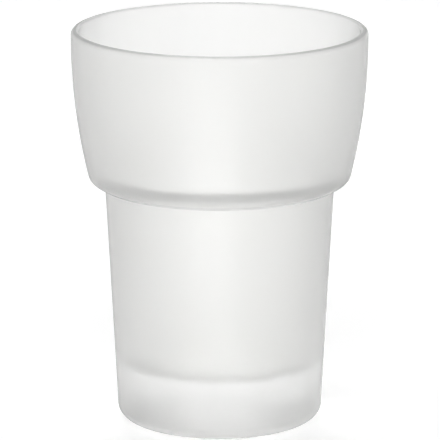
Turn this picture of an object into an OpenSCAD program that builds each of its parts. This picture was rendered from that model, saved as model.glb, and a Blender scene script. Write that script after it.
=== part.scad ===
// Bathroom tumbler in satin-frosted pressed glass, made in one piece. A wide bowl steps in
// at a rounded shoulder to a tapered body with a thick solid base, so the tumbler stands on
// its foot or hangs by its shoulder in the ring of a holder.
// Millimetres, +Z up. The origin is the centre of the foot, on the surface it stands on.

/* [Overall] */
// Height from the foot to the crest of the lip
height = 100; // [94:0.5:112]
// Height of the shoulder's ledge, which rests on the ring of a holder
shoulder_z = 60.3; // [54:0.1:66]

/* [Body] */
// Diameter of the straight neck that the ring goes round
neck_d = 57.5; // [50:0.1:66]
// Height of the straight neck
neck_h = 2.2; // [1.5:0.1:8]
// Lean of the body's wall below the neck, in degrees
body_taper = 3; // [1:0.1:5]
// Rounding of the foot's outer edge
foot_round_r = 3.6; // [1.5:0.1:5]

/* [Shoulder] */
// Width of the level ledge, from the neck to its rounded edge
ledge_width = 0.87; // [0.5:0.01:2]
// Rounding of the ledge's edge
ledge_round_r = 0.9; // [0.3:0.1:2]
// Slope of the bevel that rises outwards from the ledge, in degrees above level
bevel_slope = 28; // [12:1:45]
// Length of the bevel, between the ledge's round and the shoulder's
bevel_length = 1.93; // [0.5:0.01:3]
// Rounding of the shoulder's outer edge
shoulder_round_r = 2.65; // [1.2:0.05:4]

/* [Bowl] */
// Radius of the outward curve of the bowl's wall, seen from the side
bowl_curve_r = 149; // [110:1:260]
// Distance from the crest of the lip down to the bowl's widest point
widest_drop = 2.2; // [1.5:0.1:8]
// Share of the lip's thickness that is rounded off on its outside
lip_outer_share = 0.65; // [0.4:0.01:0.69]
// Share of the lip's thickness that is rounded off on its inside
lip_inner_share = 0.3; // [0.1:0.01:0.34]

/* [Glass thickness] */
// Wall of the bowl, up to the lip
bowl_wall = 2; // [1.6:0.05:3]
// Wall of the body at the height of the ledge
neck_wall = 2.4; // [1.8:0.1:3.2]
// Wall of the body at the inner floor
heel_wall = 3.1; // [2:0.1:4.5]
// Glass between the ledge and the inner step, straight above the outside of the neck
step_glass = 3.4; // [2.6:0.1:5]
// Glass from the standing surface up to the inner floor
base_glass = 14.3; // [8:0.1:20]

/* [Inside] */
// Slope of the inner step, which rises towards the bowl, in degrees above level
step_slope = 28.5; // [10:0.5:40]
// Rounding of the hollow corner between the bowl and the step
step_hollow_r = 1.2; // [0.8:0.1:2.6]
// Rounding of the step's edge over the body
step_edge_r = 1.2; // [0.6:0.1:2]
// Rounding of the hollow corner round the floor
floor_round_r = 3.6; // [1:0.1:6]

/* [Underside] */
// Width of the ring that the tumbler stands on, round the dome pressed up into the base
stand_ring = 3.8; // [2:0.1:8]
// Depth of the dome at its centre
dome_depth = 1.3; // [0.6:0.1:3]

/* [Hidden] */
$fn = 180;

frosted_white = [0.93, 0.95, 0.94];
// Most that a chord may leave the arc that it stands for
arc_sag = 0.005;

// Every outline is a list of points in a half section: X is the distance from the axis and
// Y is the height

// Points of an arc, with its end points, or without them where its neighbours have them
function arc(centre, r, from, to, ends = true) =
    let (steps = ceil(abs(to - from) / (2 * acos(1 - arc_sag / r))), skip = ends ? 0 : 1)
    [for (i = [skip:steps - skip])
        let (angle = from + (to - from) * i / steps)
        centre + r * [cos(angle), sin(angle)]];

// Centre of a round that stands on a level and touches a wall that leans out above it
function corner_centre(wall_r, level, taper, r) =
    [wall_r + r * tan(taper) - r / cos(taper), level + r];

// Point where two lines cross, each given by the direction square to it and its distance
// from the origin that way
function crossing(square_a, a, square_b, b) =
    [a * square_b.y - b * square_a.y, b * square_a.x - a * square_b.x]
    / (square_a.x * square_b.y - square_a.y * square_b.x);

// Outside, the body is a cone from the foot to the lower edge of the neck
neck_r = neck_d / 2;
neck_z = shoulder_z - neck_h;
foot_r = neck_r - neck_z * tan(body_taper);
foot_c = corner_centre(foot_r, 0, body_taper, foot_round_r);

// The dome is the cap of a sphere whose centre is far below the base
dome_edge_r = foot_c.x - stand_ring;
dome_r = (dome_edge_r ^ 2 + dome_depth ^ 2) / (2 * dome_depth);
dome_c = [0, dome_depth - dome_r];

// The bevel joins a small round at the ledge to the larger round of the shoulder
ledge_c = [neck_r + ledge_width, shoulder_z + ledge_round_r];
bevel_along = [cos(bevel_slope), sin(bevel_slope)];
bevel_up = [-sin(bevel_slope), cos(bevel_slope)];
shoulder_c = ledge_c + bevel_length * bevel_along + (shoulder_round_r - ledge_round_r) * bevel_up;

// The bowl's wall is an arc that runs on from the shoulder's round and leans the least at
// the bowl's widest point, so its centre is level with that point
widest_z = height - widest_drop;
bowl_reach = sqrt((bowl_curve_r - shoulder_round_r) ^ 2 - (widest_z - shoulder_c.y) ^ 2);
bowl_c = [shoulder_c.x - bowl_reach, widest_z];
bowl_inner_curve_r = bowl_curve_r - bowl_wall;

// Centre of a round that touches the bowl's wall, at a distance from the bowl's centre and
// at a height
function bowl_round_centre(distance, level) =
    [bowl_c.x + sqrt(distance ^ 2 - (level - bowl_c.y) ^ 2), level];

// Angle at which a round touches the bowl's wall, seen from the bowl's centre
function bowl_angle(centre) = atan2(centre.y - bowl_c.y, centre.x - bowl_c.x);

lip_outer_r = bowl_wall * lip_outer_share;
lip_outer_c = bowl_round_centre(bowl_curve_r - lip_outer_r, height - lip_outer_r);
lip_inner_r = bowl_wall * lip_inner_share;
lip_inner_c = bowl_round_centre(bowl_inner_curve_r + lip_inner_r, height - lip_inner_r);

// Inside, the bore narrows from the step down to the floor
bore_top_r = neck_r - neck_wall;
bore_floor_r = foot_r + base_glass * tan(body_taper) - heel_wall;
bore_taper = atan((bore_top_r - bore_floor_r) / (shoulder_z - base_glass));
bore_out = [cos(bore_taper), -sin(bore_taper)];
floor_c = corner_centre(bore_floor_r, base_glass, bore_taper, floor_round_r);

// The step rises from the bore to the bowl, and a point of it over the neck sets its height
step_point = [neck_r, shoulder_z + step_glass];
step_along = [cos(step_slope), sin(step_slope)];
step_up = [-sin(step_slope), cos(step_slope)];

// The hollow corner's round touches the step and the bowl's wall
hollow_rise = step_up * (step_point - bowl_c) + step_hollow_r;
hollow_reach = sqrt((bowl_inner_curve_r - step_hollow_r) ^ 2 - hollow_rise ^ 2);
hollow_c = bowl_c + hollow_rise * step_up + hollow_reach * step_along;

// The step's edge is a round in the glass, between the face of the step and the bore
edge_c = crossing(
    step_up, step_up * step_point - step_edge_r,
    bore_out, bore_out * [bore_floor_r, base_glass] + step_edge_r
);

// Underside, from the axis out to the ring that the tumbler stands on
underside = arc(dome_c, dome_r, 90, 90 - asin(dome_edge_r / dome_r));

// Outside, from the foot up to the crest of the lip
outside = concat(
    arc(foot_c, foot_round_r, -90, -body_taper),
    [[neck_r, neck_z], [neck_r, shoulder_z]],
    arc(ledge_c, ledge_round_r, -90, bevel_slope - 90),
    arc(shoulder_c, shoulder_round_r, bevel_slope - 90, bowl_angle(shoulder_c)),
    arc(bowl_c, bowl_curve_r, bowl_angle(shoulder_c), bowl_angle(lip_outer_c), false),
    arc(lip_outer_c, lip_outer_r, bowl_angle(lip_outer_c), 90)
);

// Inside, from the crest of the lip down to the middle of the floor
inside = concat(
    arc(lip_inner_c, lip_inner_r, 90, 180 + bowl_angle(lip_inner_c)),
    arc(bowl_c, bowl_inner_curve_r, bowl_angle(lip_inner_c), bowl_angle(hollow_c), false),
    arc(hollow_c, step_hollow_r, bowl_angle(hollow_c), step_slope - 90),
    arc(edge_c, step_edge_r, 90 + step_slope, 180 - bore_taper),
    arc(floor_c, floor_round_r, -bore_taper, -90),
    [[0, base_glass]]
);

module tumbler_glass() {
    color(frosted_white) rotate_extrude() polygon(concat(underside, outside, inside));
}

tumbler_glass();
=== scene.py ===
"""A bathroom tumbler in satin-frosted glass, lit softly on a plain white floor.

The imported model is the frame, and its one node keeps its shape. This script gives the node
its etched glass, and adds the floor, the lights and the camera. Lengths are in metres.
"""
import math

import bpy
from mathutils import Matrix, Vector


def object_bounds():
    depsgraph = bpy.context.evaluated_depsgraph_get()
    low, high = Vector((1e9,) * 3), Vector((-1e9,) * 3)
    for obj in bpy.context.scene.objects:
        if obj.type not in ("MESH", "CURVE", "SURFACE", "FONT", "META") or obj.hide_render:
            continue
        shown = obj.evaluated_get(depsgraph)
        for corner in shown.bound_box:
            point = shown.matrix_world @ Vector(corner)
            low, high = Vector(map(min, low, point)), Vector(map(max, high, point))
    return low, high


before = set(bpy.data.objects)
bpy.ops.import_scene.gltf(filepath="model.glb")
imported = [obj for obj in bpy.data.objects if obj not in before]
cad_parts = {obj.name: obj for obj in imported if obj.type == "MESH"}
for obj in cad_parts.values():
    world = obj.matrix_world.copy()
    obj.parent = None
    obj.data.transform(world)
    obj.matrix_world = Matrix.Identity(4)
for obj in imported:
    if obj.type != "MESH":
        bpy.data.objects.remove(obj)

cad_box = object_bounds()
HEIGHT = cad_box[1][2]

# Camera: a long lens some ten tumblers away, aimed at the middle of the glass
AIM = Vector((0.0001, 0.0, 0.0508))
ELEVATION = math.radians(13.63)
DISTANCE = 1.0258
LENS_MM = 332.3
SENSOR_MM = 36.0

# World: white at the horizon and dark overhead, as heights on a dome whose radius is 1
WHITE_UP_TO = 0.0
DARK_FROM = 0.7

# Floor: a square that ends within reach of the lamps, just under the foot
FLOOR_HALF = 0.95
FLOOR_DROP = 0.0001
FLOOR_COLOUR = (0.8, 0.8, 0.8, 1.0)
FLOOR_GLOW = 0.395

# Soft boxes: azimuth in degrees, which is 0 over the camera and 180 behind the glass, then
# elevation in degrees, width and height, and watts
LAMP_REACH = 1.6
LAMP_AIM = Vector((0.0, 0.0, HEIGHT / 2))
SOFT_BOXES = {
    "back": (180, 52, (0.69, 0.7), 7.6),
    "front": (0, 50, (1.1, 0.7), 7.9),
    "left": (-90, 27, (0.8, 0.7), 7.5),
    "right": (90, 27, (0.8, 0.7), 4.5),
}

# Lit card on the floor in front, for the soft streak down the middle of the glass
CARD_PLACE = (-0.03, -0.19, 0.002)
CARD_SIZE = (0.11, 0.16)
CARD_WATTS = 0.29

# Light paths: the thick base passes light on many times before it comes out
BOUNCES = 12
GLOSSY_BLUR = 0.0

# Glass, etched finer inside than outside
GLASS_COLOUR = (0.944, 0.942, 0.929, 1.0)
CLOUD_COLOUR = (0.934, 0.937, 0.933, 1.0)
# Painted shade: the colour of the dark line along the lip's crest
RIM_SHADE_COLOUR = (0.55, 0.56, 0.55, 1.0)
IOR = 1.5
OUTSIDE_ROUGHNESS = 0.5
INSIDE_ROUGHNESS = 0.38

# Etching: soft clouds, a fine grain and the slow ripple of pressed glass
NOISE_MIDDLE = 0.5
CLOUD_SPAN = 0.011
CLOUD_DETAIL = 3
CLOUD_ROUGHNESS = 0.05
GRAIN_SPAN = 0.00035
GRAIN_DETAIL = 2
GRAIN_HEIGHT = 0.00001
RIPPLE_SPAN = 0.009
RIPPLE_DETAIL = 0
RIPPLE_HEIGHT = 0.00006

# Slant: the etched skin scatters more where it is met at a low angle
SLANT_FROM = 0.6
SLANT_FULL = 0.95
SLANT_SCATTER = 0.3

# Crest of the lip: a thin line of painted shade, a darker glass colour that stands in for the dark
# refraction along the lip, the most on its outside
RIM_SHADE_DEPTH = 0.00015
RIM_SHADE_FADE = 0.0003
RIM_SHADE_INSIDE = 0.3

# Foot's ring, rubbed smoother in patches by what it stands on
WEAR_SMOOTHING = 0.14
WEAR_HEIGHT = 0.0005
WEAR_SPAN = 0.0025
WEAR_DETAIL = 2
SCUFF_FROM = 0.4
SCUFF_FULL = 0.6


def node(tree, kind, **values):
    """A new node, with its settings and its sockets' values given by name."""
    made = tree.nodes.new(kind)
    for name, value in values.items():
        if hasattr(made, name):
            setattr(made, name, value)
        else:
            made.inputs[name.replace("_", " ")].default_value = value
    return made


def maths(tree, operation, *terms):
    """A maths node's result, each term being a number or a socket."""
    made = node(tree, "ShaderNodeMath", operation=operation)
    for slot, term in zip(made.inputs, terms):
        if isinstance(term, (int, float)):
            slot.default_value = term
        else:
            tree.links.new(term, slot)
    return made.outputs[0]


def eased(tree, value, none, full):
    """0 where the value is at or past none, easing to 1 where it is at or past full."""
    made = node(tree, "ShaderNodeMapRange", interpolation_type="SMOOTHSTEP", From_Min=none, From_Max=full)
    tree.links.new(value, made.inputs["Value"])
    return made.outputs["Result"]


def noise(tree, place, span, detail):
    """Noise between 0 and 1 whose lumps are about a span across."""
    made = node(tree, "ShaderNodeTexNoise", Scale=1 / span, Detail=detail)
    tree.links.new(place, made.inputs["Vector"])
    return made.outputs["Fac"]


def mixed(tree, share, first, second):
    """A colour that runs from the first to the second as the share goes from 0 to 1."""
    made = node(tree, "ShaderNodeMix", data_type="RGBA")
    for slot, term in ((0, share), (6, first), (7, second)):
        if isinstance(term, tuple):
            made.inputs[slot].default_value = term
        else:
            tree.links.new(term, made.inputs[slot])
    return made.outputs[2]


def seen_directly(tree):
    """1 on a ray from the camera, off gloss or through glass, and 0 on all other rays."""
    path = node(tree, "ShaderNodeLightPath")
    total = path.outputs["Is Camera Ray"]
    for name in ("Is Glossy Ray", "Is Transmission Ray"):
        total = maths(tree, "MAXIMUM", total, path.outputs[name])
    return total


def make_world():
    """White at the level of the horizon, all round, under a dark ceiling."""
    world = bpy.data.worlds.new("studio")
    world.use_nodes = True
    tree = world.node_tree
    tree.nodes.clear()
    direction = node(tree, "ShaderNodeTexCoord")
    split = node(tree, "ShaderNodeSeparateXYZ")
    tree.links.new(direction.outputs["Generated"], split.inputs[0])
    light = node(tree, "ShaderNodeBackground", Color=(1, 1, 1, 1))
    tree.links.new(eased(tree, split.outputs["Z"], DARK_FROM, WHITE_UP_TO), light.inputs["Strength"])
    out = node(tree, "ShaderNodeOutputWorld")
    tree.links.new(light.outputs[0], out.inputs["Surface"])
    bpy.context.scene.world = world


def floor_white():
    """Dull white, with a glow that only the camera, gloss and glass see."""
    mat = bpy.data.materials.new("floor_white")
    mat.use_nodes = True
    tree = mat.node_tree
    tree.nodes.clear()
    dull = node(tree, "ShaderNodeBsdfDiffuse", Color=FLOOR_COLOUR)
    glow = node(tree, "ShaderNodeEmission", Color=(1, 1, 1, 1))
    tree.links.new(maths(tree, "MULTIPLY", seen_directly(tree), FLOOR_GLOW), glow.inputs["Strength"])
    both = node(tree, "ShaderNodeAddShader")
    tree.links.new(dull.outputs[0], both.inputs[0])
    tree.links.new(glow.outputs[0], both.inputs[1])
    out = node(tree, "ShaderNodeOutputMaterial")
    tree.links.new(both.outputs[0], out.inputs["Surface"])
    return mat


def make_floor():
    """A level square just under the foot, its edges within reach of the lamps."""
    mesh = bpy.data.meshes.new("floor")
    corners = [(x * FLOOR_HALF, y * FLOOR_HALF, 0.0) for x, y in ((-1, -1), (1, -1), (1, 1), (-1, 1))]
    mesh.from_pydata(corners, [], [(0, 1, 2, 3)])
    mesh.materials.append(floor_white())
    floor = bpy.data.objects.new("floor", mesh)
    floor.location.z = -FLOOR_DROP
    bpy.context.collection.objects.link(floor)


def area_lamp(name, size, watts):
    """A rectangular lamp that the camera doesn't see, at the origin and facing down."""
    light = bpy.data.lights.new(name, "AREA")
    light.shape = "RECTANGLE"
    light.size, light.size_y = size
    light.energy = watts
    lamp = bpy.data.objects.new(name, light)
    lamp.visible_camera = False
    bpy.context.collection.objects.link(lamp)
    return lamp


def soft_box(name, azimuth, elevation, size, watts):
    """A soft box that faces the glass from a distance."""
    lamp = area_lamp(name, size, watts)
    turn = math.radians(azimuth)
    rise = math.radians(elevation)
    out = Vector((math.sin(turn) * math.cos(rise), -math.cos(turn) * math.cos(rise), math.sin(rise)))
    lamp.location = LAMP_REACH * out
    lamp.rotation_euler = (LAMP_AIM - lamp.location).to_track_quat("-Z", "Y").to_euler()


def front_card():
    """The lit card lies just in front of what the camera sees, and faces up."""
    card = area_lamp("card", CARD_SIZE, CARD_WATTS)
    card.location = CARD_PLACE
    card.rotation_euler = (math.pi, 0, 0)


def make_camera():
    """The photograph's view: from the front and a little above, nearly without perspective."""
    data = bpy.data.cameras.new("camera")
    data.lens = LENS_MM
    data.sensor_width = SENSOR_MM
    camera = bpy.data.objects.new("camera", data)
    back = Vector((0, -math.cos(ELEVATION), math.sin(ELEVATION)))
    camera.location = AIM + DISTANCE * back
    camera.rotation_euler = (-back).to_track_quat("-Z", "Y").to_euler()
    bpy.context.collection.objects.link(camera)
    bpy.context.scene.camera = camera


def faces_outward(tree, surface):
    """1 where the surface turns away from the axis of the glass, and 0 where it faces it."""
    level = node(tree, "ShaderNodeVectorMath", operation="MULTIPLY")
    tree.links.new(surface.outputs["Position"], level.inputs[0])
    level.inputs[1].default_value = (1, 1, 0)
    along = node(tree, "ShaderNodeVectorMath", operation="DOT_PRODUCT")
    tree.links.new(level.outputs["Vector"], along.inputs[0])
    tree.links.new(surface.outputs["Normal"], along.inputs[1])
    turned = maths(tree, "MULTIPLY_ADD", surface.outputs["Backfacing"], -2, 1)
    return maths(tree, "GREATER_THAN", maths(tree, "MULTIPLY", along.outputs["Value"], turned), 0)


def etched_colour_and_rim_shade(tree, level, outward, clouds):
    """Nearly clear and faintly clouded, with a line of painted shade round the crest of the lip."""
    clouded = mixed(tree, clouds, GLASS_COLOUR, CLOUD_COLOUR)
    # Painted shade along the lip's crest, strongest where the surface faces outward
    crest_shade = eased(tree, level, HEIGHT - RIM_SHADE_DEPTH - RIM_SHADE_FADE, HEIGHT - RIM_SHADE_DEPTH)
    rim_shade = maths(tree, "MULTIPLY", crest_shade, maths(tree, "MAXIMUM", outward, RIM_SHADE_INSIDE))
    return mixed(tree, rim_shade, clouded, RIM_SHADE_COLOUR)


def etched_roughness(tree, place, level, outward, clouds):
    """Coarser outside than inside, clouded, smoother where the foot is worn, rougher on a slant."""
    sides = maths(tree, "MULTIPLY_ADD", outward, OUTSIDE_ROUGHNESS - INSIDE_ROUGHNESS, INSIDE_ROUGHNESS)
    drift = maths(tree, "SUBTRACT", clouds, NOISE_MIDDLE)
    clouded = maths(tree, "MULTIPLY_ADD", drift, CLOUD_ROUGHNESS, sides)
    scuffs = eased(tree, noise(tree, place, WEAR_SPAN, WEAR_DETAIL), SCUFF_FROM, SCUFF_FULL)
    worn = maths(tree, "MULTIPLY", eased(tree, level, WEAR_HEIGHT, 0), scuffs)
    etched = maths(tree, "MULTIPLY_ADD", worn, -WEAR_SMOOTHING, clouded)
    slant = eased(tree, node(tree, "ShaderNodeLayerWeight").outputs["Facing"], SLANT_FROM, SLANT_FULL)
    return maths(tree, "MULTIPLY", etched, maths(tree, "MULTIPLY_ADD", slant, SLANT_SCATTER, 1))


def etched_bumps(tree, place):
    """The etching's grain on top of the slow ripple of the pressed surface, as a normal."""
    ripple = node(tree, "ShaderNodeBump", Distance=RIPPLE_HEIGHT)
    tree.links.new(noise(tree, place, RIPPLE_SPAN, RIPPLE_DETAIL), ripple.inputs["Height"])
    grain = node(tree, "ShaderNodeBump", Distance=GRAIN_HEIGHT)
    tree.links.new(noise(tree, place, GRAIN_SPAN, GRAIN_DETAIL), grain.inputs["Height"])
    tree.links.new(ripple.outputs["Normal"], grain.inputs["Normal"])
    return grain.outputs["Normal"]


def satin_glass():
    """Clear glass whose skin is etched: cloudy, finely grained, and worn where it is touched."""
    mat = bpy.data.materials.new("satin_glass")
    mat.use_nodes = True
    tree = mat.node_tree
    tree.nodes.clear()
    surface = node(tree, "ShaderNodeNewGeometry")
    place = surface.outputs["Position"]
    split = node(tree, "ShaderNodeSeparateXYZ")
    tree.links.new(place, split.inputs[0])
    level = split.outputs["Z"]

    outward = faces_outward(tree, surface)
    clouds = noise(tree, place, CLOUD_SPAN, CLOUD_DETAIL)

    glass = node(tree, "ShaderNodeBsdfPrincipled", IOR=IOR, Transmission_Weight=1.0)
    tree.links.new(etched_colour_and_rim_shade(tree, level, outward, clouds), glass.inputs["Base Color"])
    tree.links.new(etched_roughness(tree, place, level, outward, clouds), glass.inputs["Roughness"])
    tree.links.new(etched_bumps(tree, place), glass.inputs["Normal"])
    out = node(tree, "ShaderNodeOutputMaterial")
    tree.links.new(glass.outputs[0], out.inputs["Surface"])
    return mat


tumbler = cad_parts["tumbler_glass"]
tumbler.material_slots[0].material = satin_glass()
make_world()
make_floor()
for name, place in SOFT_BOXES.items():
    soft_box(name, *place)
front_card()
make_camera()
scene = bpy.context.scene
scene.view_settings.view_transform = "Standard"
scene.cycles.max_bounces = BOUNCES
scene.cycles.transmission_bounces = BOUNCES
scene.cycles.blur_glossy = GLOSSY_BLUR
